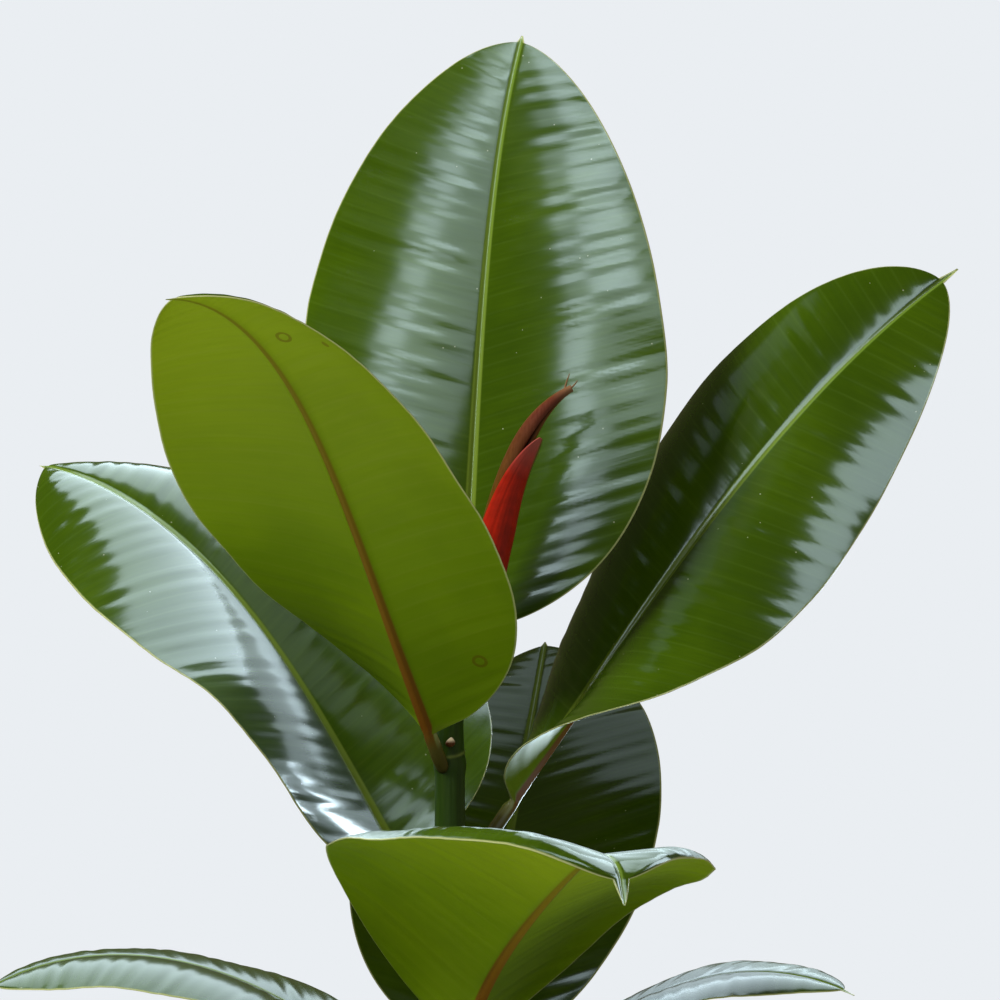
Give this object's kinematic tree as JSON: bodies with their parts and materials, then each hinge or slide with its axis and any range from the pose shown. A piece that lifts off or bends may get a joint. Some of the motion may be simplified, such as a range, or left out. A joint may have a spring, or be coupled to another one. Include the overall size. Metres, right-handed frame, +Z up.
{
  "type": "potted rubber plant",
  "caption": "Young rubber plant with broad glossy leaves in a spiral on one stem, a rolled young leaf in a red sheath at the top, in soil in a round tapered pot.",
  "frame": {"origin": "middle of the pot's underside, on the stem's axis", "axes": "+Z up along the stem, -Y towards the viewer who sees the tallest leaf from its upper side, +X to that viewer's right"},
  "size_m": [0.3854, 0.3883, 0.7039],
  "materials": {
    "terracotta": "matte",
    "potting_soil": "matte",
    "stem": "satin",
    "leaf": "gloss",
    "young_leaf": "satin",
    "red_sheath": "satin",
    "bud": "satin"
  },
  "bodies": {
    "root": {"pot": "terracotta", "potting_soil": "potting_soil", "stem": "stem", "leaf_top": "leaf", "leaf_front_left": "leaf", "leaf_right": "leaf", "leaf_left": "leaf", "leaf_front": "leaf", "leaf_back": "leaf", "leaf_low_left": "leaf", "leaf_low_right": "leaf", "leaf_lower_back": "leaf", "leaf_lower_front": "leaf", "leaf_lower_right": "leaf", "leaf_lower_left": "leaf", "rolled_leaf": "young_leaf", "red_sheath": "red_sheath", "axil_bud": "bud"}
  },
  "joints": []
}
